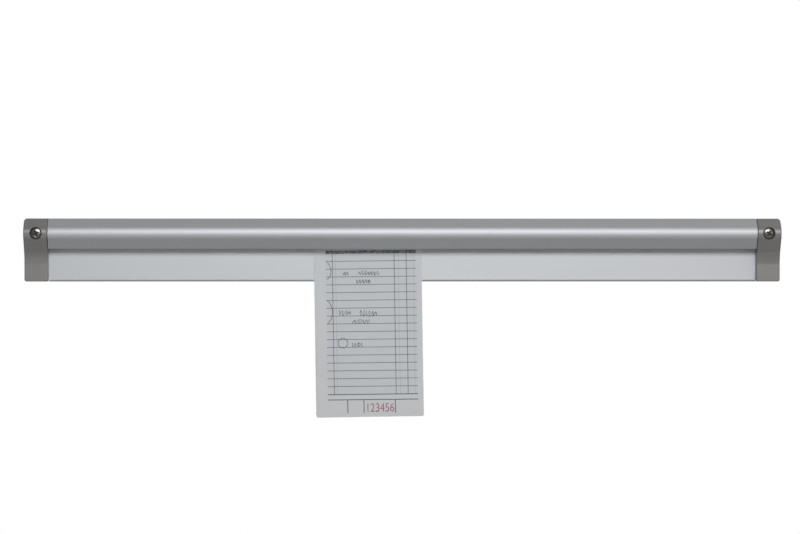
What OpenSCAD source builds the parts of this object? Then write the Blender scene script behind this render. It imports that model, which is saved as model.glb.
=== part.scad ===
// Order ticket rail for a kitchen pass: a hooded aluminium profile between two screwed end caps.
// Loose rollers in the hood wedge each ticket against the back plate.
// The wall is the plane y = 0, the front faces -y, and x = 0 and z = 0 are the middle of the profile.

/* [Rail] */
// Overall length over both end caps
rail_l = 610; // [300:5:1200]
// Overall height
rail_h = 50.8; // [44:0.1:70]
// Thickness of the back plate
plate_t = 2; // [1.5:0.1:2.8]
// Wall of the hood
hood_wall = 1.6; // [1.2:0.1:2]
// Distance of the nose from the wall
nose_d = 20; // [18:0.5:24]
// Height of the nose below the top
nose_drop = 12; // [10:0.5:14]
// Outer radius of the nose
nose_r = 8; // [6.6:0.2:9.6]
// Lean of the face above the nose
upper_lean = 47; // [40:1:55]
// Lean of the face below the nose
lower_lean = 36; // [30:1:40]
// Radius of the long outer edges
edge_r = 1.2; // [0.4:0.1:1.4]

/* [End caps] */
// Width of one end cap
cap_w = 19; // [16:0.5:30]
// Wall of an end cap
cap_wall = 2.2; // [1.6:0.1:3]
// Distance of the lower face from the wall
cap_d = 8; // [5:0.5:10]
// Radius that blends the lower face into the slope above it
cap_blend_r = 12; // [6:0.5:16]
// Radius of the outer corners, seen from the front
cap_corner_r = 2.2; // [0.5:0.1:3]
// Length of the tongue that plugs into the hood
tongue_l = 8; // [4:0.5:20]
// Clearance round the tongue
tongue_gap = 0.15; // [0.05:0.05:0.4]

/* [Screws] */
// Distance of a screw from the end of the rail
screw_inset = 10; // [8:0.5:12]
// Diameter over the thread
screw_d = 4.2; // [3:0.1:5]
// Length under the head
screw_l = 32; // [25:1:60]
// Diameter of the plain neck
neck_d = 3.4; // [2:0.1:4]
// Length of the plain neck
neck_l = 15; // [8:0.5:20]
// Length of the pointed tip
tip_l = 5; // [3:0.5:8]
// Radius left at the point
tip_r = 0.3; // [0.1:0.05:0.6]
// Diameter of the head
head_d = 8; // [6.5:0.1:8.6]
// Height of the head
head_h = 3; // [2:0.1:4]
// Height of the straight rim of the head
head_rim_h = 1; // [0.5:0.1:1.5]
// Width of one slot of the cross recess
recess_w = 1.4; // [0.8:0.1:1.6]
// Length of one slot of the cross recess
recess_l = 5.2; // [3:0.1:5.5]
// Depth of the cross recess
recess_h = 2; // [1:0.1:2.2]
// Depth of the head's top below the nose
head_sink = 2; // [0.5:0.1:4]
// Diameter of the counterbore
sink_d = 10.2; // [9:0.1:11]
// Diameter of the hole through the cap
hole_d = 4.6; // [4.4:0.1:5.5]
// Wall round the counterbore, inside the cap
boss_wall = 1.3; // [1:0.1:2.5]

/* [Rollers] */
// Diameter of a roller
roller_d = 12; // [10.8:0.1:12.2]
// Length of a roller
roller_l = 38; // [20:1:60]
// Least room between two rollers
roller_space = 1; // [0.5:0.1:3]
// Chamfer at a roller's ends
roller_edge = 0.6; // [0.2:0.1:1.5]
// Clearance between a resting roller and the rail
roller_gap = 0.2; // [0.1:0.05:0.4]
// Height of a resting roller above the lip
roller_rise = 0.95; // [0.5:0.05:2]

/* [Ticket] */
// Width of the ticket
ticket_w = 87; // [50:1:120]
// Length of the ticket
ticket_l = 157; // [80:1:300]
// Thickness of the ticket
ticket_t = 0.25; // [0.2:0.05:0.6]
// Place of the ticket along the rail
ticket_x = -28.5; // [-100:0.5:100]
// Tilt of the ticket
ticket_tilt = 0.9; // [0:0.1:1.5]
// Room above the ticket, under the top of the hood
ticket_head_gap = 1; // [0.5:0.1:3]
// Clearance in front of the ticket and behind it
ticket_gap = 0.15; // [0.05:0.05:0.3]

/* [Hidden] */
// Steps of one drawn arc
arc_steps = 16;
// Smoothness of the round surfaces
$fn = 64;
// Overrun of a cut past the surface it opens
overrun = 1;
// Half of the height, which is the height of the top above the middle
top_z = rail_h / 2;
// Centre of the nose, as distance from the wall and height
nose_c = [nose_d - nose_r, top_z - nose_drop];
// Radius of the nose inside the hood
channel_r = nose_r - hood_wall;
// Length of the extruded profile
profile_l = rail_l - 2 * cap_w;
// Length of the channel that is left for the rollers
channel_l = profile_l - 2 * tongue_l;
// Number of rollers that fit in the channel
roller_n = floor((channel_l - roller_space) / (roller_l + roller_space));
// Distance from one roller to the next
roller_pitch = channel_l / roller_n;
// Distance of the counterbore's floor from the wall
seat_d = nose_d - head_sink - head_h;
// Height of the ticket's upper edge, whose one corner the tilt raises
ticket_top = top_z - hood_wall - ticket_head_gap - ticket_w / 2 * sin(ticket_tilt);
// Sideways run of the ticket's edges
ticket_run = ticket_l * sin(ticket_tilt);

// Points of an arc about a centre, from one angle to another
function arc(centre, r, from, to) =
    [for (i = [0 : arc_steps]) let (a = from + (to - from) * i / arc_steps) centre + r * [cos(a), sin(a)]];

// Points in the opposite order
function reversed(points) = [for (i = [len(points) - 1 : -1 : 0]) points[i]];

// Distance from the wall, at height h, of the sloping faces that touch a nose of radius r
function upper_depth(r, h) = nose_c[0] + (r - (h - nose_c[1]) * sin(upper_lean)) / cos(upper_lean);
function lower_depth(r, h) = nose_c[0] + (r + (h - nose_c[1]) * sin(lower_lean)) / cos(lower_lean);

// Front of the hood from the top edge to the foot of the nose
function hood_front() = concat(
    [[0, top_z]],
    arc([upper_depth(nose_r - edge_r, top_z - edge_r), top_z - edge_r], edge_r, 90, upper_lean),
    arc(nose_c, nose_r, upper_lean, -lower_lean)
);

// The same front, moved inwards, with a sharp upper corner
function inner_front(inset) = concat(
    [[upper_depth(nose_r - inset, top_z - inset), top_z - inset]],
    arc(nose_c, nose_r - inset, upper_lean, -lower_lean)
);

// Round end of the lip below the resting rollers, from its outer face to its inner face
lip_z = seat_z(plate_t + roller_gap + roller_d / 2) - roller_d / 2 - roller_rise + hood_wall / 2;
lip_c = [lower_depth(nose_r - hood_wall / 2, lip_z), lip_z];
lip_end = arc(lip_c, hood_wall / 2, -lower_lean, -lower_lean - 180);

// Rounded lower edge of a face that stands d in front of the wall
function foot(d) = concat(
    arc([d - edge_r, edge_r - top_z], edge_r, 0, -90),
    [[0, -top_z]]
);

// Blend from the slope to the cap's lower face, at an inset into the cap
blend_h = nose_c[1] + ((cap_d + cap_blend_r - nose_c[0]) * cos(lower_lean) - nose_r - cap_blend_r) / sin(lower_lean);
blend_c = [cap_d + cap_blend_r, blend_h];
function blend(inset) = arc(blend_c, cap_blend_r + inset, 180 - lower_lean, 180);

profile_outline = concat(
    hood_front(),
    lip_end,
    reversed(inner_front(hood_wall)),
    [[plate_t, top_z - hood_wall]],
    foot(plate_t)
);

cap_outline = concat(hood_front(), blend(0), foot(cap_d));

cap_hollow = concat(
    [[-overrun, top_z - cap_wall]],
    inner_front(cap_wall),
    blend(cap_wall),
    [[cap_d - cap_wall, cap_wall - top_z], [-overrun, cap_wall - top_z]]
);

tongue_outline = concat(
    [[plate_t + tongue_gap, top_z - hood_wall - tongue_gap]],
    inner_front(hood_wall + tongue_gap),
    [[plate_t + tongue_gap, nose_c[1] - (channel_r - tongue_gap) * sin(lower_lean)]]
);

// Names are numbered with two digits
function roller_name(i) = str("roller_", i < 10 ? "0" : "", i);

// Place of roller i along the rail
function roller_x(i) = (i - (roller_n + 1) / 2) * roller_pitch;

// A roller that lies over the ticket is pushed forward by the ticket
function on_ticket(i) = abs(roller_x(i) - ticket_x) < (roller_l + ticket_w) / 2 + ticket_run;
function roller_depth(i) = plate_t + roller_gap + roller_d / 2 + (on_ticket(i) ? ticket_t + ticket_gap : 0);

// Height at which a roller, at distance d from the wall, meets the slope below the nose
function seat_z(d) =
    nose_c[1] + ((d - nose_c[0]) * cos(lower_lean) + roller_d / 2 + roller_gap - channel_r) / sin(lower_lean);

// Extrudes an outline of distances from the wall and heights along x
module along_rail(from, length) {
    translate([from, 0, 0])
        rotate([90, 0, 90])
            linear_extrude(length)
                mirror([1, 0])
                    children();
}

// Places a shape drawn for the left end, with x = 0 at the outer face, at the end that side names
module at_end(side) {
    mirror([(side + 1) / 2, 0, 0])
        translate([-rail_l / 2, 0, 0])
            children();
}

// Stands a shape on the screw's axis, with its z as the distance from the wall
module on_screw_axis() {
    translate([screw_inset, 0, nose_c[1]])
        rotate([90, 0, 0])
            children();
}

// Front view of a cap, with rounded outer corners
module cap_face() {
    for (z = [cap_corner_r - top_z, top_z - cap_corner_r])
        translate([cap_corner_r, z])
            circle(cap_corner_r);
    translate([cap_corner_r, -top_z])
        square([cap_w - cap_corner_r, rail_h]);
    translate([0, cap_corner_r - top_z])
        square([cap_corner_r, rail_h - 2 * cap_corner_r]);
}

module cap_body() {
    intersection() {
        along_rail(0, cap_w) polygon(cap_outline);
        rotate([90, 0, 0]) linear_extrude(nose_d + overrun) cap_face();
    }
}

module end_cap(side) {
    at_end(side) difference() {
        union() {
            difference() {
                cap_body();
                along_rail(cap_wall, cap_w - 2 * cap_wall) polygon(cap_hollow);
            }
            along_rail(cap_w - cap_wall, cap_wall + tongue_l) polygon(tongue_outline);
            intersection() {
                cap_body();
                on_screw_axis() cylinder(d = sink_d + 2 * boss_wall, h = nose_d);
            }
        }
        on_screw_axis() {
            translate([0, 0, -overrun]) cylinder(d = hole_d, h = nose_d + overrun);
            translate([0, 0, seat_d]) cylinder(d = sink_d, h = nose_d);
        }
    }
}

// Pan head: a straight rim under a dome
module screw_head() {
    dome_h = head_h - head_rim_h;
    dome_r = (pow(head_d / 2, 2) + pow(dome_h, 2)) / (2 * dome_h);
    rise = asin(head_d / 2 / dome_r);
    rotate_extrude()
        polygon(concat(
            [[0, 0], [head_d / 2, 0]],
            arc([0, head_h - dome_r], dome_r, 90 - rise, 90)
        ));
}

module cross_recess() {
    translate([0, 0, head_h - recess_h])
        for (turn = [45, 135])
            rotate([0, 0, turn])
                translate([-recess_l / 2, -recess_w / 2, 0])
                    cube([recess_l, recess_w, recess_h + overrun]);
}

module mounting_screw(side) {
    at_end(side) on_screw_axis() translate([0, 0, seat_d]) {
        difference() {
            screw_head();
            cross_recess();
        }
        translate([0, 0, -neck_l]) cylinder(d = neck_d, h = neck_l);
        translate([0, 0, tip_l - screw_l]) cylinder(d = screw_d, h = screw_l - tip_l - neck_l);
        translate([0, 0, -screw_l]) cylinder(r1 = tip_r, r2 = screw_d / 2, h = tip_l);
    }
}

module rail_extrusion() {
    color("silver") along_rail(-profile_l / 2, profile_l) polygon(profile_outline);
}

module left_end_cap() {
    color("dimgray") end_cap(-1);
}

module right_end_cap() {
    color("dimgray") end_cap(1);
}

module left_mounting_screw() {
    color("lightgray") mounting_screw(-1);
}

module right_mounting_screw() {
    color("lightgray") mounting_screw(1);
}

module roller(i) {
    color("ivory")
        translate([roller_x(i) - roller_l / 2, -roller_depth(i), seat_z(roller_depth(i))])
            rotate([0, 90, 0])
                rotate_extrude()
                    polygon([
                        [0, 0],
                        [roller_d / 2 - roller_edge, 0],
                        [roller_d / 2, roller_edge],
                        [roller_d / 2, roller_l - roller_edge],
                        [roller_d / 2 - roller_edge, roller_l],
                        [0, roller_l]
                    ]);
}

module order_ticket() {
    color("white")
        translate([ticket_x, -plate_t - ticket_gap - ticket_t, 0])
            rotate([0, -ticket_tilt, 0])
                translate([-ticket_w / 2, 0, ticket_top - ticket_l])
                    cube([ticket_w, ticket_t, ticket_l]);
}

rail_extrusion();
left_end_cap();
right_end_cap();
left_mounting_screw();
right_mounting_screw();
for (i = [1 : roller_n])
    roller(i);
order_ticket();
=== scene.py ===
import math
from contextlib import contextmanager

import bmesh
import bpy
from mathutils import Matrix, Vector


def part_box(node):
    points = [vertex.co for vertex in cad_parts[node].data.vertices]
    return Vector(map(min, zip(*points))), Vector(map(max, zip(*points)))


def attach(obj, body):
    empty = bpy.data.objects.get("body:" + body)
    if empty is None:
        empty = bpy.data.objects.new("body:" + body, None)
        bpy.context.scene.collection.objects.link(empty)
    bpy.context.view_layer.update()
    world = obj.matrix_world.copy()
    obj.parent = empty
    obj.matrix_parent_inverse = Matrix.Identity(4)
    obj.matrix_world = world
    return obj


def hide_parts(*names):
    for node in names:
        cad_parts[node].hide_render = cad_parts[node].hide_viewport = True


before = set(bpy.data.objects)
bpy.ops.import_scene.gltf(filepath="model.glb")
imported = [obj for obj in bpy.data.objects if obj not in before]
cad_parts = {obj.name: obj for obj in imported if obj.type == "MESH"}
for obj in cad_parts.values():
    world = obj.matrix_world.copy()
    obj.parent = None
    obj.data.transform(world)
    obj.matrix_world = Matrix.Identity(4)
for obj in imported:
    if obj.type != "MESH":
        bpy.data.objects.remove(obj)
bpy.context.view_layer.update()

# An order ticket rail: a hooded aluminium profile, two screwed end caps, loose rollers and one ticket.
# Sizes are in millimetres. The wall is y = 0, the front faces -y, and x = z = 0 is the middle of the profile.


def mm(*lengths):
    return tuple(length / 1000 for length in lengths)


# Working on a piece, as by hand

tolerance = 0.02      # how near to a place a corner counts as there


def makeActive(piece):
    bpy.ops.object.select_all(action="DESELECT")
    bpy.context.view_layer.objects.active = piece
    piece.select_set(True)


def applyPlace(piece):
    makeActive(piece)
    bpy.ops.object.transform_apply(location=True, rotation=True, scale=True)
    return piece


def startPiece(name, addPrimitive, centre=(0, 0, 0), turn=(0, 0, 0), scale=(1, 1, 1), **settings):
    bpy.ops.object.select_all(action="DESELECT")
    addPrimitive(location=mm(*centre), rotation=[math.radians(angle) for angle in turn], **settings)
    piece = bpy.context.object
    piece.name = piece.data.name = name
    piece.scale = scale
    return applyPlace(piece)


def block(name, low, high):
    centre = [(a + b) / 2 for a, b in zip(low, high)]
    spans = [b - a for a, b in zip(low, high)]
    return startPiece(name, bpy.ops.mesh.primitive_cube_add, centre, scale=mm(*spans), size=1)


@contextmanager
def editing(piece):
    makeActive(piece)
    bpy.ops.object.mode_set(mode="EDIT")
    yield
    bpy.ops.object.mode_set(mode="OBJECT")


def at(**place):
    # true for a corner at that place, and for an edge or face with all its corners there;
    # a pair of numbers is a range
    def inside(point):
        for axis, want in place.items():
            low, high = want if isinstance(want, tuple) else (want, want)
            if not low - tolerance < getattr(point, axis) * 1000 < high + tolerance:
                return False
        return True
    return lambda part: all(inside(corner.co) for corner in getattr(part, "verts", [part]))


def among(*places):
    # true for an edge or face each of whose corners is at one of those places
    tests = [at(**place) for place in places]
    return lambda part: all(any(test(corner) for test in tests) for corner in part.verts)


def pick(kind, test):
    bpy.ops.mesh.select_mode(type=kind)
    bpy.ops.mesh.select_all(action="DESELECT")
    shell = bmesh.from_edit_mesh(bpy.context.object.data)
    for part in {"VERT": shell.verts, "EDGE": shell.edges, "FACE": shell.faces}[kind]:
        if test(part):
            part.select_set(True)
    shell.select_flush_mode()
    bmesh.update_edit_mesh(bpy.context.object.data)


def sliceAt(height):
    bpy.ops.mesh.select_all(action="SELECT")
    bpy.ops.mesh.bisect(plane_co=mm(0, 0, height), plane_no=(0, 0, 1), threshold=1e-7)


def move(**way):
    bpy.ops.transform.translate(value=mm(*(way.get(axis, 0) for axis in "xyz")))


def extrude(**way):
    step = mm(*(way.get(axis, 0) for axis in "xyz"))
    bpy.ops.mesh.extrude_region_move(TRANSFORM_OT_translate={"value": step})


def resize(centre, **way):
    bpy.ops.transform.resize(value=[way.get(axis, 1) for axis in "xyz"], center_override=mm(*centre))


def bevel(width, steps, kind="EDGES"):
    bpy.ops.mesh.bevel(offset=width / 1000, segments=steps, profile=0.5, affect=kind)


def roundOff(test, radius, turn=90, steps=6):
    # a fillet of that radius along edges whose faces meet at that turn
    pick("EDGE", test)
    bevel(radius * math.tan(math.radians(turn / 2)), steps)


def mendShell(piece):
    with editing(piece):
        bpy.ops.mesh.select_all(action="SELECT")
        bpy.ops.mesh.remove_doubles(threshold=2e-6)
        bpy.ops.mesh.normals_make_consistent(inside=False)


def applyModifier(piece, kind, **settings):
    makeActive(piece)
    step = piece.modifiers.new(kind.lower(), kind)
    for name, value in settings.items():
        setattr(step, name, value)
    bpy.ops.object.modifier_apply(modifier=step.name)


def join(piece, tool, operation="DIFFERENCE"):
    applyModifier(piece, "BOOLEAN", operation=operation, object=tool, solver="EXACT")
    bpy.data.objects.remove(tool)
    mendShell(piece)


def copyOf(piece, name, shift=(0, 0, 0), mirrored=False):
    makeActive(piece)
    bpy.ops.object.duplicate()
    twin = bpy.context.object
    twin.name = twin.data.name = name
    twin.location = mm(*shift)
    twin.scale.x = -1 if mirrored else 1
    applyPlace(twin)
    if mirrored:
        mendShell(twin)
    return twin


def turned(name, rings, sides=48):
    # lathe work round the y axis: a disc drawn out ring by ring;
    # a ring is a radius and a distance in front of the wall
    radius, depth = rings[0]
    piece = startPiece(name, bpy.ops.mesh.primitive_circle_add, (0, -depth, 0), (90, 0, 0),
                       radius=radius / 1000, vertices=sides, fill_type="NGON")
    with editing(piece):
        bpy.ops.mesh.select_all(action="SELECT")
        for nextRadius, nextDepth in rings[1:]:
            extrude(y=depth - nextDepth)
            resize((0, -nextDepth, 0), x=nextRadius / radius, z=nextRadius / radius)
            radius, depth = nextRadius, nextDepth
    mendShell(piece)
    return piece


def finished(piece, finishes, body, node=None):
    makeActive(piece)
    bpy.ops.object.shade_smooth_by_angle(angle=math.radians(35))
    applyModifier(piece, "WEIGHTED_NORMAL", keep_sharp=True)      # flats stay flat beside their fillets
    for finish in finishes:
        piece.data.materials.append(finish)
    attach(piece, body)
    if node:
        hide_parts(node)


# Shaders: sockets that do sums, and one way to add every other node

def sumOf(operation, swapped=False):
    def result(self, other):
        pair = (other, self) if swapped else (self, other)
        return self.desk.add("ShaderNodeMath", {"operation": operation}, dict(enumerate(pair)))
    return result


class Value:
    def __init__(self, desk, socket):
        self.desk, self.socket = desk, socket

    __add__, __radd__ = sumOf("ADD"), sumOf("ADD", True)
    __sub__, __rsub__ = sumOf("SUBTRACT"), sumOf("SUBTRACT", True)
    __mul__, __rmul__ = sumOf("MULTIPLY"), sumOf("MULTIPLY", True)
    __truediv__, __rtruediv__ = sumOf("DIVIDE"), sumOf("DIVIDE", True)
    __or__ = sumOf("MAXIMUM")

    def out(self, name):
        return Value(self.desk, self.socket.node.outputs[name])

    def near(self, place, half):
        return self.desk.add("ShaderNodeMath", {"operation": "COMPARE"}, {0: self, 1: place, 2: half})

    def between(self, low, high):
        return self.near((low + high) / 2, (high - low) / 2)

    def ease(self, start, end, low=0, high=1):
        span = {0: self, 1: start, 2: end, 3: low, 4: high}
        return self.desk.add("ShaderNodeMapRange", {"interpolation_type": "SMOOTHSTEP"}, span)


class Desk:
    def __init__(self, tree):
        self.tree = tree
        tree.nodes.clear()

    def add(self, kind, settings=None, inputs=None, output=0):
        node = self.tree.nodes.new(kind)
        for name, value in (settings or {}).items():
            if name == "stops":
                ramp = node.color_ramp.elements
                while len(ramp) < len(value):
                    ramp.new(0.5)
                for stop, (place, level) in enumerate(value):
                    ramp[stop].position = place
                    ramp[stop].color = (*level, 1)
            else:
                setattr(node, name, value)
        for name, value in (inputs or {}).items():
            socket = node.inputs[name]
            if isinstance(value, Value):
                self.tree.links.new(value.socket, socket)
            elif socket.type == "RGBA":
                socket.default_value = (*value, 1)
            else:
                socket.default_value = value
        return Value(self, node.outputs[output]) if len(node.outputs) else None

    def place(self, kind="Object"):
        return self.add("ShaderNodeTexCoord", output=kind)

    def noise(self, vector, scale, detail=2, roughness=0.5):
        numbers = {"Vector": vector, "Scale": scale, "Detail": detail, "Roughness": roughness}
        return self.add("ShaderNodeTexNoise", {}, numbers)

    def drawnOut(self, vector, scale, detail=2, roughness=0.5):
        longer = self.add("ShaderNodeMapping", {}, {"Vector": vector, "Scale": scale})
        return self.noise(longer, 1, detail, roughness)

    def mix(self, share, first, second, way="MIX"):
        settings = {"data_type": "RGBA", "blend_type": way}
        return self.add("ShaderNodeMix", settings, {0: share, 6: first, 7: second}, output=2)

    def bump(self, height, strength, distance):
        numbers = {"Height": height, "Strength": strength, "Distance": distance / 1000}
        return self.add("ShaderNodeBump", {}, numbers)


def newFinish(name):
    material = bpy.data.materials.new(name)
    material.use_nodes = True
    return material, Desk(material.node_tree)


def surface(desk, inputs):
    desk.add("ShaderNodeOutputMaterial", {}, {"Surface": desk.add("ShaderNodeBsdfPrincipled", {}, inputs)})


# Camera: almost square to the wall, level with the rail's lower half, as the photograph was taken

def makeCamera():
    view = {"place": (-52, -2750, -13.7), "turn": -1.038, "lens": 152.88, "sensor": 36}
    turn = (math.pi / 2, 0, math.radians(view["turn"]))
    bpy.ops.object.camera_add(location=mm(*view["place"]), rotation=turn)
    camera = bpy.context.object
    camera.data.lens, camera.data.sensor_width = view["lens"], view["sensor"]
    camera.data.sensor_fit = "HORIZONTAL"
    bpy.context.scene.camera = camera


# The profile's outline, which the rail and the caps share

hood = {
    "noseDepth": 20, "noseDrop": 12, "noseRadius": 8, "upperLean": 47, "lowerLean": 36,
    "top": 25.4, "edge": 1.2,
}
noseAxis = (hood["noseDepth"] - hood["noseRadius"], hood["top"] - hood["noseDrop"])
upperLean, lowerLean = math.radians(hood["upperLean"]), math.radians(hood["lowerLean"])
noseTurn = hood["upperLean"] + hood["lowerLean"]


def upperDepth(inset, height):
    # distance from the wall of the face above the nose
    radius = hood["noseRadius"] - inset
    return noseAxis[0] + (radius - (height - noseAxis[1]) * math.sin(upperLean)) / math.cos(upperLean)


def lowerDepth(inset, height):
    radius = hood["noseRadius"] - inset
    return noseAxis[0] + (radius + (height - noseAxis[1]) * math.sin(lowerLean)) / math.cos(lowerLean)


def lowerHeight(inset, depth):
    radius = hood["noseRadius"] - inset
    return noseAxis[1] + ((depth - noseAxis[0]) * math.cos(lowerLean) - radius) / math.sin(lowerLean)


def noseTip(inset):
    # where the two faces would meet if the nose weren't round
    reach = (hood["noseRadius"] - inset) / math.sin(upperLean + lowerLean)
    return (noseAxis[0] + reach * (math.sin(lowerLean) + math.sin(upperLean)),
            noseAxis[1] + reach * (math.cos(lowerLean) - math.cos(upperLean)))


# Rail: one extrusion, satin anodised

rail = {
    "half": 285.9, "hoodHalf": 285.4, "plate": 2, "wall": 1.6, "aside": 60,
    "lip": (12.561, 0.563), "lipInside": (11.267, 1.503), "lipEdge": 0.78, "footEdge": 1.6, "innerEdge": 0.4,
    "trim": {"end": 290, "front": -30, "foot": -5, "top": 30},
}


def anodisedAluminium():
    look = {"light": (0.505, 0.527, 0.546), "dark": (0.461, 0.481, 0.498), "roughness": 0.60, "uneven": 0.06}
    material, desk = newFinish("anodised aluminium")
    place = desk.place()
    lines = desk.drawnOut(place, (3, 900, 900), detail=3, roughness=0.6)      # fine lines along the extrusion
    bands = desk.drawnOut(place, (6, 40, 40))
    specks = desk.noise(place, 2500)
    surface(desk, {
        "Base Color": desk.mix(lines * 0.55 + bands * 0.45, look["dark"], look["light"]),
        "Metallic": 1.0,
        "Roughness": look["roughness"] + (lines + bands - 1) * look["uneven"],
        "Normal": desk.bump(lines * 0.7 + specks * 0.3, strength=0.12, distance=0.05),
    })
    return material


def makeRail():
    wallTop, top = hood["top"] - rail["wall"], hood["top"]
    piece = block("hoodedRail", (-rail["half"], -rail["plate"], -top), (rail["half"], 0, top))
    corners = [
        ((upperDepth(0, top), top), (upperDepth(rail["wall"], wallTop), wallTop)),
        (noseTip(0), noseTip(rail["wall"])),
        (rail["lip"], rail["lipInside"]),
    ]
    with editing(piece):
        sliceAt(wallTop)
        outside, inside = (rail["plate"], top), (rail["plate"], wallTop)
        aside = rail["aside"]
        for nextOutside, nextInside in corners:
            # the hood's end is drawn out well clear of the rest, and its two edges are then set in place
            pick("FACE", among({"y": -outside[0], "z": outside[1]}, {"y": -inside[0], "z": inside[1]}))
            extrude(y=-aside)
            for (depth, height), (nextDepth, nextHeight) in ((outside, nextOutside), (inside, nextInside)):
                pick("VERT", at(y=-depth - aside, z=height))
                move(y=depth + aside - nextDepth, z=nextHeight - height)
            outside, inside = nextOutside, nextInside
        # both ends become one face each
        ends = among({"x": -rail["half"]}), among({"x": rail["half"]})
        nearlyFlat = 0.01
        pick("EDGE", lambda edge: any(end(edge) for end in ends) and edge.calc_face_angle(0) < nearlyFlat)
        bpy.ops.mesh.dissolve_edges()
        nose, noseInside = corners[1]
        innerRadius = hood["noseRadius"] - rail["wall"]
        roundOff(at(y=-nose[0], z=nose[1]), hood["noseRadius"], noseTurn, steps=26)
        roundOff(at(y=-noseInside[0], z=noseInside[1]), innerRadius, noseTurn, steps=16)
        roundOff(at(y=-upperDepth(0, top), z=top), hood["edge"], 90 - hood["upperLean"], steps=5)
        roundOff(at(y=-rail["plate"], z=-top), rail["footEdge"], steps=7)
        roundOff(at(y=-rail["plate"], z=wallTop), rail["innerEdge"], steps=3)
        for depth, height in corners[2]:
            roundOff(at(y=-depth, z=height), rail["lipEdge"], steps=6)
    mendShell(piece)
    trim = rail["trim"]
    for side in (-1, 1):
        near, far = sorted((side * rail["hoodHalf"], side * trim["end"]))
        join(piece, block("endTrim", (near, trim["front"], trim["foot"]), (far, -rail["plate"], trim["top"])))
    finished(piece, [anodisedAluminium()], "rail", "rail_extrusion")
    print("rail:", len(piece.data.polygons), "faces")


# End caps: hollow castings that plug into the hood, painted grey

cap = {
    "outer": -305, "inner": -286, "wall": 2.2, "depth": 8, "blend": 19,
    "topCorner": 2.7, "footCorner": 1.7, "innerCorner": 1.4, "frontEdge": 0.85,
    "tongueEnd": -278, "tongueGap": 0.15, "seam": 0.57, "seamDepth": 1.15, "plugNose": 0.98,
    "screw": -295, "hole": 4.6, "sink": 9.7, "seat": 15, "boss": 12.8,
    "past": (-2, 30), "front": (-30, -0.5), "sharp": 51.5,
}


def screwDistance(desk, place):
    # a point's squared distance from the nearer screw's axis, and its distance from the wall, in mm
    spot = desk.add("ShaderNodeSeparateXYZ", {}, {0: place})
    across = (spot | spot * -1) * 1000 + cap["screw"]
    up = spot.out("Z") * 1000 - noseAxis[1]
    return across * across + up * up, spot.out("Y") * -1000


def capPaint():
    look = {
        "light": (0.220, 0.220, 0.216), "dark": (0.184, 0.184, 0.180), "metallic": 0.35, "roughness": 0.40,
        # the bore colour is painted shade for the counterbore's walls
        "uneven": 0.12, "boreShade": (0.06, 0.06, 0.055), "boreShadeEdge": (0.25, -0.05),
    }
    material, desk = newFinish("cap paint")
    place = desk.place()
    rim, inside = ((cap["sink"] / 2 + more) ** 2 for more in look["boreShadeEdge"])
    boreShade = screwDistance(desk, place)[0].ease(rim, inside)      # painted shade: the counterbore is coloured dark as if in shadow
    grit = desk.noise(place, 1500, detail=3, roughness=0.6)
    cloud = desk.noise(place, 90, detail=3)
    paint = desk.mix(grit * 0.5 + cloud * 0.5, look["dark"], look["light"])
    surface(desk, {
        "Base Color": desk.mix(boreShade, paint, look["boreShade"]),
        "Metallic": look["metallic"],
        "Roughness": look["roughness"] + (grit - 0.5) * look["uneven"],
        "Normal": desk.bump(grit, strength=0.2, distance=0.1),
    })
    return material


def capBlock(name, inset, back, noseSteps):
    # the cap's outline as a closed block; with an inset it is the hollow inside the cap
    face, top = cap["depth"] - inset, hood["top"] - inset
    tipDepth, tipHeight = noseTip(inset)
    slopeFoot = lowerHeight(inset, face)
    piece = block(name, (cap["outer"] + inset, -face, -top), (cap["inner"] - inset, back, top))
    with editing(piece):
        sliceAt(tipHeight)
        sliceAt(slopeFoot)
        for height, depth in ((tipHeight, tipDepth), (top, upperDepth(inset, top))):
            pick("VERT", at(y=-face, z=height))
            move(y=face - depth)
        if not inset:
            for height, radius in ((-top, cap["footCorner"]), (top, cap["topCorner"])):
                roundOff(at(x=cap["outer"], z=height), radius, steps=7)
            roundOff(at(x=cap["inner"], z=-top), cap["innerCorner"], steps=4)
            roundOff(at(y=-upperDepth(0, top), z=top), hood["edge"], 90 - hood["upperLean"], steps=4)
        roundOff(at(y=-tipDepth, z=tipHeight), hood["noseRadius"] - inset, noseTurn, noseSteps)
        roundOff(at(y=-face, z=slopeFoot), cap["blend"] + inset, hood["lowerLean"], steps=10)
    mendShell(piece)
    return piece


def capPlug(name, inset, back, reach):
    # fills the hood's outline, that far inside its outer faces, and is rooted in the cap's inner wall
    top, foot = hood["top"] - inset, noseAxis[1] - (hood["noseRadius"] - inset) * math.sin(lowerLean)
    tipDepth, tipHeight = noseTip(inset)
    corners = (foot, lowerDepth(inset, foot)), (tipHeight, tipDepth), (top, upperDepth(inset, top))
    start = 10      # where the front stands before its edges are set in place
    piece = block(name, (cap["inner"] - inset / 2, -start, foot), (reach, -back, top))
    with editing(piece):
        sliceAt(tipHeight)
        for height, depth in corners:
            pick("VERT", at(y=-start, z=height))
            move(y=start - depth)
        radius = (hood["noseRadius"] - inset) * cap["plugNose"]
        roundOff(at(y=-tipDepth, z=tipHeight), radius, noseTurn, steps=12)
    mendShell(piece)
    return piece


def onScrewAxis(tool):
    tool.location = mm(cap["screw"], 0, noseAxis[1])
    return applyPlace(tool)


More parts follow.
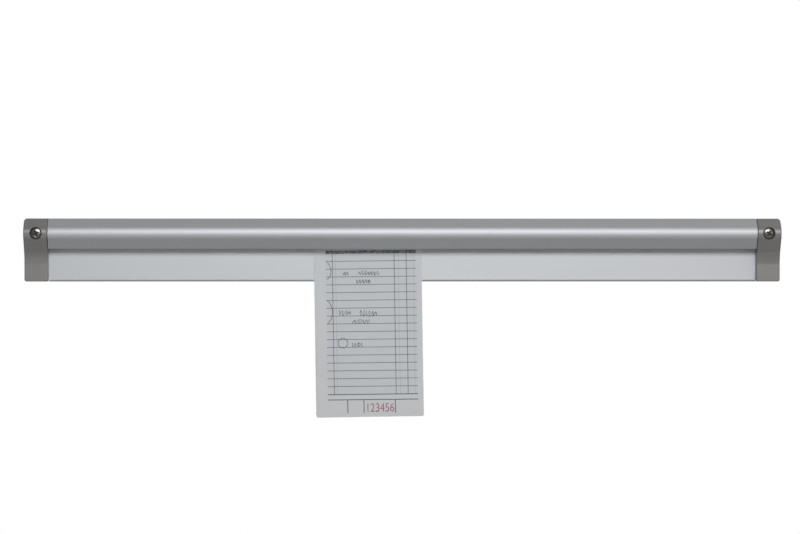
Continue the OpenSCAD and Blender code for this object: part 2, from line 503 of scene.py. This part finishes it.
def makeCaps():
    left = capBlock("leftCap", inset=0, back=0, noseSteps=26)
    with editing(left):
        # the front edges of both sides and the foot, in one run
        outer, inner = cap["outer"], cap["inner"]
        front, sharp = cap["front"], math.radians(cap["sharp"])
        parts = [
            at(x=(outer, outer + cap["footCorner"]), y=front),
            at(x=(inner - cap["innerCorner"], inner), y=front),
            at(z=-hood["top"], y=front),
        ]
        pick("EDGE", lambda edge: edge.calc_face_angle(0) > sharp and any(part(edge) for part in parts))
        bevel(cap["frontEdge"], steps=4)
    mendShell(left)
    hollow = capBlock("capHollow", cap["wall"], back=1, noseSteps=12)
    behind, ahead = cap["past"]
    join(hollow, onScrewAxis(turned("screwBoss", [(cap["boss"] / 2, behind), (cap["boss"] / 2, ahead)])))
    join(left, hollow)
    gap, seam, depth = cap["tongueGap"], cap["inner"] + cap["seam"], cap["seamDepth"]
    join(left, capPlug("tongue", rail["wall"] + gap, rail["plate"] + gap, cap["tongueEnd"]), "UNION")
    # a rib behind the seam keeps daylight out of it
    join(left, capPlug("seamRib", depth, rail["plate"] + gap / 2, seam), "UNION")
    hole, sink, seat = cap["hole"] / 2, cap["sink"] / 2, cap["seat"]
    drill = [(hole, behind), (hole, seat), (sink, seat), (sink, ahead)]
    join(left, onScrewAxis(turned("drill", drill, sides=64)))
    right = copyOf(left, "rightCap", mirrored=True)
    paint = capPaint()
    finished(left, [paint], "rail", "left_end_cap")
    finished(right, [paint], "rail", "right_end_cap")
    print("end caps:", len(left.data.polygons), "faces each")


# Mounting screws: pan head, cross recess, thread that goes into the wall

screw = {
    "seat": cap["seat"], "spacing": -2 * cap["screw"], "driven": (18, -15),
    "head": 8.3, "height": 3, "flat": 1, "dome": 7.5, "round": 0.4, "under": 0.25,
    "domeRings": (3.2, 2.8, 2.4, 2, 1.6, 1.3, 1, 0.1), "recess": (5.6, 1.5, 2.3), "taper": 0.5,
    "neck": 3.4, "neckLength": 15, "neckFoot": 0.6, "core": 2.9, "length": 32, "tip": 5, "point": 0.2,
    "crest": 4.2, "flank": 0.5, "sunk": 0.1, "threadStart": 2.01, "pitch": 1.4, "turns": 9, "steps": 28,
    "bands": 40, "slimmed": 0.9,
}


def zincPlate():
    look = {
        "light": (0.21, 0.21, 0.19), "dark": (0.15, 0.15, 0.13), "metallic": 0.75, "roughness": 0.27,
        # the recess colour is painted shade for the inside of the cross recess
        "scratched": 0.12, "recess": (0.07, 0.07, 0.06), "dull": 0.3,
        "reach": (3.1, 2.9), "mouth": (17.5, 17.1), "pit": (15.2, 15.4),
    }
    material, desk = newFinish("zinc plate")
    place = desk.place()
    cloud = desk.noise(place, 500, detail=4, roughness=0.6)
    scratches = desk.drawnOut(place, (1200, 300, 5000))
    away, depth = screwDistance(desk, place)
    rim, inside = (reach ** 2 for reach in look["reach"])
    # painted shade: inside the cross recess the plate is coloured dark as if in shadow, and made rougher
    recess = away.ease(rim, inside) * depth.ease(*look["mouth"]) * depth.ease(*look["pit"])
    plate = desk.mix(cloud, look["dark"], look["light"])
    surface(desk, {
        "Base Color": desk.mix(recess, plate, look["recess"]),
        "Metallic": look["metallic"],
        "Roughness": look["roughness"] + (scratches - 0.5) * look["scratched"] + recess * look["dull"],
        "Normal": desk.bump(scratches, strength=0.08, distance=0.05),
    })
    return material


def screwThread():
    # a four-cornered section swept round the shank, closed at both ends and drawn in towards the point
    middle = screw["core"] / 2 - screw["sunk"]
    section = (screw["crest"] / 2 - middle, screw["flank"], 1)
    piece = startPiece("thread", bpy.ops.mesh.primitive_circle_add, (middle, screw["threadStart"], 0),
                       scale=section, radius=0.001, vertices=4, fill_type="NOTHING")
    applyModifier(piece, "SCREW", axis="Y", screw_offset=screw["pitch"] / 1000, iterations=screw["turns"],
                  steps=screw["steps"], render_steps=screw["steps"],
                  use_merge_vertices=True, merge_threshold=1e-7)
    shoulder = screw["length"] - screw["seat"] - screw["tip"]
    bands, band = screw["bands"], screw["tip"] / screw["bands"]
    with editing(piece):
        bpy.ops.mesh.select_all(action="SELECT")
        bpy.ops.mesh.fill_holes(sides=4)
        for number in range(bands):
            # no corner of the thread lies on a band's border, because of where the thread starts
            low = shoulder + number * band
            pick("VERT", at(y=(low + tolerance, low + band - tolerance)))
            drawnIn = 1 - (number + 0.5) / bands * screw["slimmed"]
            resize((0, 0, 0), x=drawnIn, z=drawnIn)
    mendShell(piece)
    return piece


def makeScrews():
    seat, head, soft = screw["seat"], screw["head"] / 2, screw["round"]
    flat, radius, top = screw["flat"], screw["dome"], seat + screw["height"]

    def domeDepth(ring):
        return top - radius + math.sqrt(radius ** 2 - max(0, ring - flat) ** 2)

    brow = domeDepth(head - soft) - soft
    angles = [math.radians(angle) for angle in (0, 22, 44, 64, 80)]
    edge = [(head - soft * (1 - math.cos(angle)), brow + soft * math.sin(angle)) for angle in angles]
    dome = edge + [(ring, domeDepth(ring)) for ring in (head - soft - 0.1, *screw["domeRings"])]
    neck, core, under = screw["neck"] / 2, screw["core"] / 2, screw["under"]
    point, neckEnd = seat - screw["length"], seat - screw["neckLength"]
    left = turned("leftScrew", [
        (screw["point"], point), (core, point + screw["tip"]), (core, neckEnd - screw["neckFoot"]),
        (neck, neckEnd), (neck, seat), (head - under, seat), (head, seat + under), *dome,
    ], sides=56)
    length, width, depth = screw["recess"]
    low, high = (-length / 2, -top - 1, -width / 2), (length / 2, depth - top, width / 2)
    for turn in (45, 135):
        cutter = block("crossCutter", low, high)
        with editing(cutter):
            pick("FACE", at(y=depth - top))
            resize((0, 0, 0), x=screw["taper"], z=screw["taper"])
        cutter.rotation_euler.y = math.radians(turn)
        join(left, applyPlace(cutter))
    join(left, screwThread(), "UNION")
    right = copyOf(left, "rightScrew")
    for piece, turn in zip((left, right), screw["driven"]):
        piece.rotation_euler.y = math.radians(turn)
        onScrewAxis(piece)
    right.location = mm(screw["spacing"], 0, 0)
    applyPlace(right)
    plate = zincPlate()
    finished(left, [plate], "rail", "left_mounting_screw")
    finished(right, [plate], "rail", "right_mounting_screw")
    print("screws:", len(left.data.polygons), "faces each")


# Rollers: loose nylon rods, one behind the other in the hood

roller = {
    "radius": 6, "length": 38, "edge": 0.6, "count": 14,
    "dimple": 1.4, "dimpleFloor": 1.12, "dimpleDepth": 0.5,
}


def nylon():
    look = {"light": (0.76, 0.74, 0.68), "dark": (0.66, 0.64, 0.57), "roughness": 0.45, "uneven": 0.2}
    material, desk = newFinish("nylon")
    place = desk.place()
    cloud = desk.noise(place, 120, detail=3)
    scuffs = desk.drawnOut(place, (60, 1500, 1500), detail=3)
    surface(desk, {
        "Base Color": desk.mix(cloud * 0.6 + scuffs * 0.4, look["dark"], look["light"]),
        "Roughness": look["roughness"] + (scuffs - 0.5) * look["uneven"],
        "Normal": desk.bump(scuffs, strength=0.15, distance=0.05),
    })
    return material


def makeRollers():
    radius, length, edge = roller["radius"], roller["length"], roller["edge"]
    angles = [math.radians(angle) for angle in (0, 22.5, 45, 67.5, 90)]
    rounding = [(radius - edge + edge * math.sin(angle), edge - edge * math.cos(angle)) for angle in angles]
    half = [(roller["dimpleFloor"], roller["dimpleDepth"]), (roller["dimple"], 0), *rounding]
    first = turned("nylonRoller", half + [(ring, length - depth) for ring, depth in reversed(half)], sides=40)
    first.rotation_euler.z = math.pi / 2
    applyPlace(first)
    finish = nylon()
    for number in range(1, roller["count"] + 1):
        node = f"roller_{number:02d}"
        low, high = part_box(node)
        middle = (low + high) / 2 * 1000
        piece = copyOf(first, f"nylonRoller{number:02d}", (middle.x - length / 2, middle.y, middle.z))
        finished(piece, [finish], node, node)
    bpy.data.objects.remove(first)
    print("rollers:", roller["count"])


# Ticket: two plies of paper with a ruled order form

ticket = {
    "width": 86.2, "length": 157, "place": -28.5, "tilt": 0.9, "top": 22.12, "front": 2.37, "corner": 1.6,
    "ply": 0.09, "plyGap": 0.03, "topShift": 0.4, "underShift": -0.4, "roughness": 0.85,
    # how a ply bows: which lower corner, or 0 for the whole foot, how far, and how wide that is felt
    "topBow": [(0, -1.0, 75), (1, -0.9, 45)], "underBow": [(0, -0.7, 70), (-1, -0.2, 40)],
}


def paperTone(desk):
    look = {"light": (0.540, 0.561, 0.577), "dark": (0.489, 0.510, 0.527)}
    place = desk.place()
    fibre = desk.noise(place, 1800, detail=4, roughness=0.65)
    cloud = desk.noise(place, 45, detail=3)
    tone = desk.mix(fibre * 0.45 + cloud * 0.55, look["dark"], look["light"])
    return tone, desk.bump(fibre, strength=0.12, distance=0.1)


def plainPaper():
    material, desk = newFinish("plain paper")
    tone, relief = paperTone(desk)
    surface(desk, {"Base Color": tone, "Roughness": ticket["roughness"], "Normal": relief})
    return material


def formPaper():
    # the form is drawn in the sheet's own UV: u from its left edge and v from its lower edge, in mm
    form = {
        "left": 8.7, "right": 81.8, "thin": 0.5, "thick": 0.68, "drop": 0.22, "skew": 0.0042,
        "pitch": 6.33, "firstRule": 25.2, "rules": 17, "feet": (18.7, 14.4), "band": (132.5, 135.2),
        "columns": (14.1, 64.1, 73.8), "hairs": (16.7, 67.4, 79.6), "columnFoot": 18.7, "columnTop": 135.4,
        "stub": (24.8, 37.9, 63.3), "stubSpan": (3.6, 14),
        "tint": (0.955, 0.972, 0.985), "ink": (0.085, 0.11, 0.125), "faint": (0.11, 0.13, 0.14),
        "ruleShare": 0.95, "hairShare": 0.45, "columnShare": 0.95, "smudge": (0.38, 0.6, 0.55, 0.95),
    }
    pen = {
        "tone": (0.05, 0.055, 0.07), "share": 0.8, "width": 0.55, "start": (-0.6, -0.5), "waver": 1.2,
        "hooks": [(3.6, 118.8, 9.4, 111.6, 126.0), (0.8, 85.4, 12.8, 75.8, 95.0)], "loop": (21.7, 60.3, 3.9),
        "ringWaver": 0.6, "strokeWaver": 2.2, "slant": 0.35, "pace": 2.6, "fade": (0.35, 0.65, 0.35, 1),
        "level": 0.22, "steep": 0.75,
        "strokes": [
            (22.5, 27.0, 116.3, 1.6), (35.0, 52.0, 116.5, 2.1), (33.0, 45.0, 110.0, 1.5),
            (19.0, 28.5, 84.6, 2.2), (35.5, 49.5, 84.0, 2.4), (29.5, 43.5, 77.6, 1.9),
            (29.0, 37.5, 58.6, 1.5),
        ],
    }
    material, desk = newFinish("form paper")
    tone, relief = paperTone(desk)
    sheet = desk.add("ShaderNodeSeparateXYZ", {}, {0: desk.place("UV")})
    u = sheet * ticket["width"]
    v = sheet.out("Y") * ticket["length"] + u * form["skew"] + form["drop"]      # the print is a touch skew

    def lines(value, places, width):
        found = 0
        for place in places:
            found = value.near(place, width / 2) | found
        return found

    firstRule, pitch = form["firstRule"], form["pitch"]
    lastRule = firstRule + (form["rules"] - 1) * pitch
    across = u.between(form["left"], form["right"])
    down = v.between(form["columnFoot"], form["columnTop"])
    offRule = desk.add("ShaderNodeMath", {"operation": "FRACT"}, {0: (v - firstRule) / pitch + 0.5})
    rules = offRule.near(0.5, form["thin"] / 2 / pitch) * v.between(firstRule - 1, lastRule + 1) * across
    feet = lines(v, form["feet"], form["thick"]) * across
    columns = lines(u, form["columns"], form["thin"]) * down
    hairs = lines(u, form["hairs"], form["thin"] / 2) * down
    stub = lines(u, form["stub"], form["thick"]) * v.between(*form["stubSpan"])
    band = v.between(*form["band"]) * across
    body = desk.mix(down * across, tone, form["tint"], "MULTIPLY")
    light = desk.mix(rules * form["ruleShare"] | hairs * form["hairShare"], body, form["faint"])
    smudge = desk.noise(desk.place(), 700).ease(*form["smudge"])
    full = desk.mix(feet | columns * form["columnShare"] | stub | band * smudge, light, form["ink"])

    # pen marks that say nothing: hooks at the margin, a loop and slanting strokes
    waver = (desk.noise(desk.place(), 260) - 0.5) * pen["waver"]

    def ring(centreU, centreV, radius):
        shift, half = waver * pen["ringWaver"], pen["width"] / 2
        aside, above = u + shift - centreU, v + shift - centreV
        return (aside * aside + above * above).between((radius - half) ** 2, (radius + half) ** 2)

    marks = ring(*pen["loop"])
    for centreU, centreV, radius, low, high in pen["hooks"]:
        inForm = (u - form["left"]).ease(*pen["start"]) * v.between(low, high)
        marks = ring(centreU, centreV, radius) * inForm | marks
    for start, end, height, swing in pen["strokes"]:
        phase = (u + waver * pen["strokeWaver"] - (v - height) * pen["slant"]) * pen["pace"] + height
        wave = desk.add("ShaderNodeMath", {"operation": "SINE"}, {0: phase})
        steep = desk.add("ShaderNodeMath", {"operation": "COSINE"}, {0: phase})
        slow = desk.noise(desk.place(), 190).ease(*pen["fade"])
        away = v + waver - height - wave * slow * swing
        width = pen["level"] + (steep | steep * -1) * pen["steep"]
        marks = away.near(0, width) * u.between(start, end) | marks
    marked = desk.mix(marks * pen["share"], full, pen["tone"])
    surface(desk, {"Base Color": marked, "Roughness": ticket["roughness"], "Normal": relief})
    return material


def paperPly(name, shift, front, bow):
    # a flat sheet, bowed by hand with proportional editing, then tilted and hung in place
    width, length = ticket["width"], ticket["length"]
    piece = startPiece(name, bpy.ops.mesh.primitive_grid_add, turn=(90, 0, 0), scale=mm(width, length, 1000),
                       x_subdivisions=36, y_subdivisions=64, size=1)
    with editing(piece):
        for side, push, reach in bow:
            corner = {"x": side * width / 2} if side else {}
            pick("VERT", at(z=-length / 2, **corner))
            bpy.ops.transform.translate(value=mm(0, push, 0), use_proportional_edit=True,
                                        proportional_size=reach / 1000, proportional_edit_falloff="SMOOTH")
        for side in (-1, 1):
            pick("VERT", at(x=side * width / 2, z=-length / 2))
            bevel(ticket["corner"], steps=4, kind="VERTICES")
    tilt = math.radians(-ticket["tilt"])
    drop = ticket["top"] - length / 2
    piece.rotation_euler.y = tilt
    piece.location = mm(ticket["place"] + drop * math.sin(tilt) + shift, -front, drop * math.cos(tilt))
    applyPlace(piece)
    applyModifier(piece, "SOLIDIFY", thickness=ticket["ply"] / 1000, offset=-1,
                  material_offset=1, material_offset_rim=1)
    return piece


def redInk():
    look = {"full": (0.30, 0.085, 0.12), "thin": (0.39, 0.17, 0.22), "roughness": 0.7}
    material, desk = newFinish("red ink")
    tone = desk.mix(desk.noise(desk.place(), 900, detail=3), look["full"], look["thin"])
    surface(desk, {"Base Color": tone, "Roughness": look["roughness"]})
    return material


def sheetPlace(u, v):
    # about where a spot of the form hangs, seen from the front
    tilt = math.radians(-ticket["tilt"])
    drop = ticket["top"] - ticket["length"] / 2
    aside, above = u - ticket["width"] / 2, v - ticket["length"] / 2
    x = ticket["place"] + ticket["topShift"] + aside * math.cos(tilt) + (drop + above) * math.sin(tilt)
    return x, (drop + above) * math.cos(tilt)


def makeNumber(carrier):
    number = {
        "digits": "123456", "place": (50.8, 7.2), "front": -30, "size": 9.9, "squeeze": 0.79,
        "thick": 0.02, "clear": 0.015,
    }
    x, z = sheetPlace(*number["place"])
    bpy.ops.object.select_all(action="DESELECT")
    bpy.ops.object.text_add(location=mm(x, number["front"], z), rotation=(math.pi / 2, 0, 0))
    piece = bpy.context.object
    piece.name = piece.data.name = "stubNumber"
    piece.data.body = number["digits"]
    piece.data.size = number["size"] / 1000
    piece.data.align_x, piece.data.align_y = "CENTER", "CENTER"
    bpy.ops.object.convert(target="MESH")
    piece.scale.x = number["squeeze"]
    piece.rotation_euler.y = math.radians(-ticket["tilt"])
    applyPlace(piece)
    mendShell(piece)
    applyModifier(piece, "SHRINKWRAP", target=carrier, wrap_method="PROJECT", use_project_y=True,
                  use_positive_direction=True, offset=number["clear"] / 1000)
    applyModifier(piece, "SOLIDIFY", thickness=number["thick"] / 1000, offset=1)
    mendShell(piece)
    finished(piece, [redInk()], "ticket")


def makeTicket():
    top = paperPly("ticketTopPly", ticket["topShift"], ticket["front"], ticket["topBow"])
    underFront = ticket["front"] - ticket["ply"] - ticket["plyGap"]
    under = paperPly("ticketUnderPly", ticket["underShift"], underFront, ticket["underBow"])
    plain = plainPaper()
    finished(top, [formPaper(), plain], "ticket", "order_ticket")
    finished(under, [plain, plain], "ticket")
    makeNumber(top)
    print("ticket:", len(top.data.polygons), "faces in the top ply")


# Studio: white to the camera; a grey gradient, one wide and one small lamp for the object; and a pale floor

def makeStudio():
    level = {
        # how light the surroundings are, from straight down to straight up
        "heights": [
            (0.0, 0.02), (0.43, 0.03), (0.525, 0.87), (0.59, 0.34), (0.64, 0.10), (0.82, 0.115), (1.0, 0.405),
        ],
        "left": (0.20, 0.30, 0.35), "right": (1.93, 1.70, 1.64), "aside": (-0.2, 0.2),
        "strength": 1.04, "behind": 0.5, "rear": (0.1, 0.5),
        "floor": (0.55, 0.55, 0.545), "floorPale": 0.96, "floorRoughness": 0.7,
        "floorDepth": -480, "floorRadius": 3.0, "floorFade": (0.9, 2.85, 0.72, 1),
        "lamps": {
            "softLamp": {"place": (90, -1300, 540), "size": (880, 446), "power": 13.8},
            "lowLamp": {"place": (-523, -983, -430), "size": (90, 70), "power": 0.42},
        },
    }
    world = bpy.data.worlds.new("studio")
    bpy.context.scene.world = world
    world.use_nodes = True
    desk = Desk(world.node_tree)
    way = desk.add("ShaderNodeSeparateXYZ", {}, {0: desk.place("Generated")})
    height = way.out("Z") * 0.5 + 0.5
    stops = [(place, (tone, tone, tone)) for place, tone in level["heights"]]
    wall = desk.add("ShaderNodeValToRGB", {"stops": stops}, {0: height})
    tinted = desk.mix(way.ease(*level["aside"]), level["left"], level["right"])
    behind = way.out("Y").ease(*level["rear"])
    lit = desk.mix(1.0, desk.mix(behind * level["behind"], wall, (1, 1, 1)), tinted, "MULTIPLY")
    ray = desk.add("ShaderNodeLightPath")
    shiny = ray.out("Is Glossy Ray") | ray.out("Is Transmission Ray")
    white = ray | shiny * behind
    room = desk.add("ShaderNodeBackground", {}, {"Color": lit, "Strength": level["strength"]})
    paper = desk.add("ShaderNodeBackground", {}, {"Color": (1, 1, 1), "Strength": 1.0})
    both = desk.add("ShaderNodeMixShader", {}, {0: white, 1: room, 2: paper})
    desk.add("ShaderNodeOutputWorld", {}, {"Surface": both})

    for name, settings in level["lamps"].items():
        bpy.ops.object.light_add(type="AREA", location=mm(*settings["place"]))
        lamp = bpy.context.object
        lamp.name = name
        lamp.data.shape = "RECTANGLE"
        lamp.data.size, lamp.data.size_y = mm(*settings["size"])
        lamp.data.energy = settings["power"]
        lamp.rotation_euler = (-lamp.location).to_track_quat("-Z", "Y").to_euler()
        lamp.visible_camera = False

    floor = startPiece("floor", bpy.ops.mesh.primitive_circle_add, (0, 0, level["floorDepth"]),
                       radius=level["floorRadius"], vertices=96, fill_type="NGON")
    material, desk = newFinish("floor")
    place = desk.place()
    pale = tuple(channel * level["floorPale"] for channel in level["floor"])
    tone = desk.mix(desk.noise(place, 6, detail=3), pale, level["floor"])
    numbers = {"Base Color": tone, "Roughness": level["floorRoughness"]}
    plain = desk.add("ShaderNodeBsdfPrincipled", {}, numbers)
    # to the camera it fades to white towards its rim
    centred = desk.add("ShaderNodeVectorMath", {"operation": "LENGTH"}, {0: place}, output=1)
    fade = desk.add("ShaderNodeLightPath") * centred.ease(*level["floorFade"])
    paper = desk.add("ShaderNodeEmission", {}, {"Color": (1, 1, 1), "Strength": 1.0})
    both = desk.add("ShaderNodeMixShader", {}, {0: fade, 1: plain, 2: paper})
    desk.add("ShaderNodeOutputMaterial", {}, {"Surface": both})
    floor.data.materials.append(material)
    print("studio ready")


makeCamera()
makeRail()
makeCaps()
makeScrews()
makeRollers()
makeTicket()
makeStudio()

view = bpy.context.scene.view_settings
view.view_transform = "Standard"
